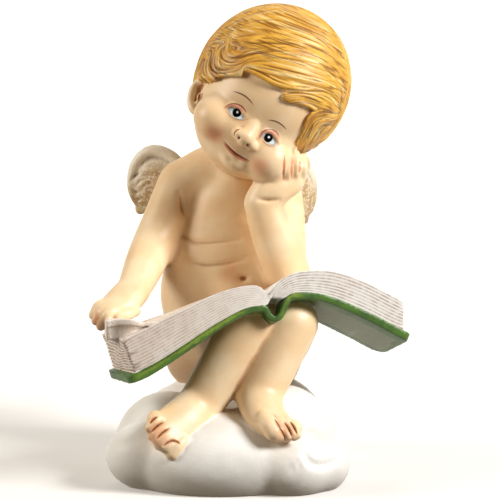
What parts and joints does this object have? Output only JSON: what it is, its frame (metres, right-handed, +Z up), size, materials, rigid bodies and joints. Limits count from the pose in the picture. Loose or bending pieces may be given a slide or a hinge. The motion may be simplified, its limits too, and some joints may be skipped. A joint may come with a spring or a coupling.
{
  "type": "reading angel figurine",
  "caption": "Painted resin cherub seated on a cloud, head leaning on one hand, with a large open book across its lap; a desk or shelf ornament.",
  "frame": {"origin": "on the flat underside of the cloud, below the middle of the seat", "axes": "+Z up, -Y towards the viewer that the face looks at, +X to that viewer's right"},
  "size_m": [0.1203, 0.1136, 0.178],
  "materials": {
    "painted_resin": "hand-painted matte enamel on cast resin"
  },
  "bodies": {
    "root": {"reading_angel": "painted_resin"}
  },
  "joints": []
}
